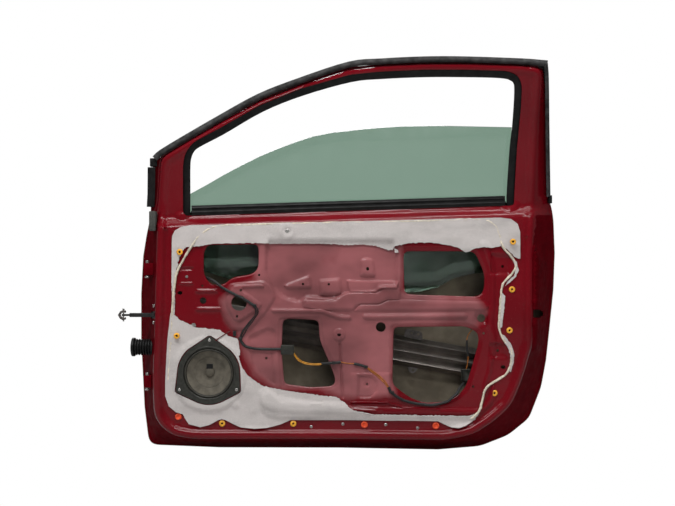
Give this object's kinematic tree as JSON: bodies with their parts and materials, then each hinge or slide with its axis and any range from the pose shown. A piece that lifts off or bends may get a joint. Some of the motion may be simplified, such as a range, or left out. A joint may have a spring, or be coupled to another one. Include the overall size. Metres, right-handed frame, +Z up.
{
  "type": "car door shell",
  "caption": "Front door of a small hatchback, seen from the cabin side with its trim off: pressed red panels, half-lowered glass, seals, hinge and check gear, loom, felt and loudspeaker.",
  "frame": {"origin": "centre of the flat front face of the upper hinge bracket", "axes": "+X to the rear of the car, along the door's length; +Y outwards, away from the cabin; +Z up, with the door upright as it hangs"},
  "size_m": [1.3203, 0.2361, 1.1701],
  "materials": {
    "red_paint": "gloss red, dulled by pale overspray in the middle",
    "skin_paint": "gloss red",
    "green_glass": "clear, pale green tint",
    "rubber_black": "matt",
    "seal_grey": "matt",
    "foam": "open foam, matt",
    "grey_steel": "dull grey primer",
    "black_steel": "satin black",
    "zinc": "bright zinc",
    "speaker_plastic": "satin",
    "cone_paper": "matt",
    "felt": "matted pale grey felt",
    "butyl": "tacky, satin",
    "clip_yellow": "satin",
    "plug_red": "satin",
    "cable_black": "satin"
  },
  "bodies": {
    "door": {"inner_panel": "red_paint", "outer_skin": "skin_paint", "glass_run_channel": "rubber_black", "belt_seal_inner": "rubber_black", "belt_seal_outer": "rubber_black", "frame_weatherstrip": "seal_grey", "rear_weatherstrip": "seal_grey", "front_corner_block": "rubber_black", "front_trim_strip": "rubber_black", "front_foam_block": "foam", "rear_corner_cap": "rubber_black", "intrusion_beam": "grey_steel", "beam_bracket_front": "grey_steel", "beam_bracket_rear": "grey_steel", "belt_reinforcement_inner": "grey_steel", "belt_reinforcement_outer": "grey_steel", "hinge_reinforcement": "grey_steel", "hinge_upper": "grey_steel", "hinge_pin_upper": "grey_steel", "hinge_lower": "grey_steel", "hinge_pin_lower": "grey_steel", "check_housing": "grey_steel", "check_bolt_upper": "zinc", "check_bolt_lower": "zinc", "wiring_gaiter": "rubber_black", "speaker_basket": "speaker_plastic", "speaker_surround": "rubber_black", "speaker_cone": "cone_paper", "speaker_dust_cap": "cone_paper", "speaker_magnet": "grey_steel", "speaker_screw_1": "grey_steel", "speaker_screw_2": "grey_steel", "speaker_screw_3": "grey_steel", "felt_upper": "felt", "felt_lower": "felt", "butyl_bead_front": "butyl", "butyl_bead_rear": "butyl", "trim_clip_1": "clip_yellow", "trim_clip_2": "clip_yellow", "trim_clip_3": "clip_yellow", "trim_clip_4": "clip_yellow", "trim_clip_5": "clip_yellow", "trim_clip_6": "clip_yellow", "trim_clip_7": "clip_yellow", "trim_clip_8": "clip_yellow", "drain_plug_1": "plug_red", "drain_plug_2": "plug_red", "drain_plug_3": "plug_red", "loom_front": "cable_black", "loom_rear": "cable_black", "connector_front": "cable_black", "connector_rear": "cable_black"},
    "glass": {"window_glass": "green_glass"},
    "strap": {"check_arm": "black_steel"},
    "pillar_bracket": {"check_bracket": "grey_steel", "check_pin": "grey_steel"}
  },
  "joints": [
    {"name": "glass_lift", "type": "hinge", "parent": "door", "child": "glass", "pos_m": [0.57605, -1.56943, -0.04669], "axis": [1, 0, 0], "range_deg": [-8, 4]},
    {"name": "strap_slide", "type": "slide", "parent": "door", "child": "strap", "axis": [1, 0, 0], "range_m": [0, 0.065]},
    {"name": "bracket_pivot", "type": "hinge", "parent": "strap", "child": "pillar_bracket", "pos_m": [-0.05986, -0.023, -0.13628], "axis": [0, 0, 1], "range_deg": [-40, 40]}
  ]
}
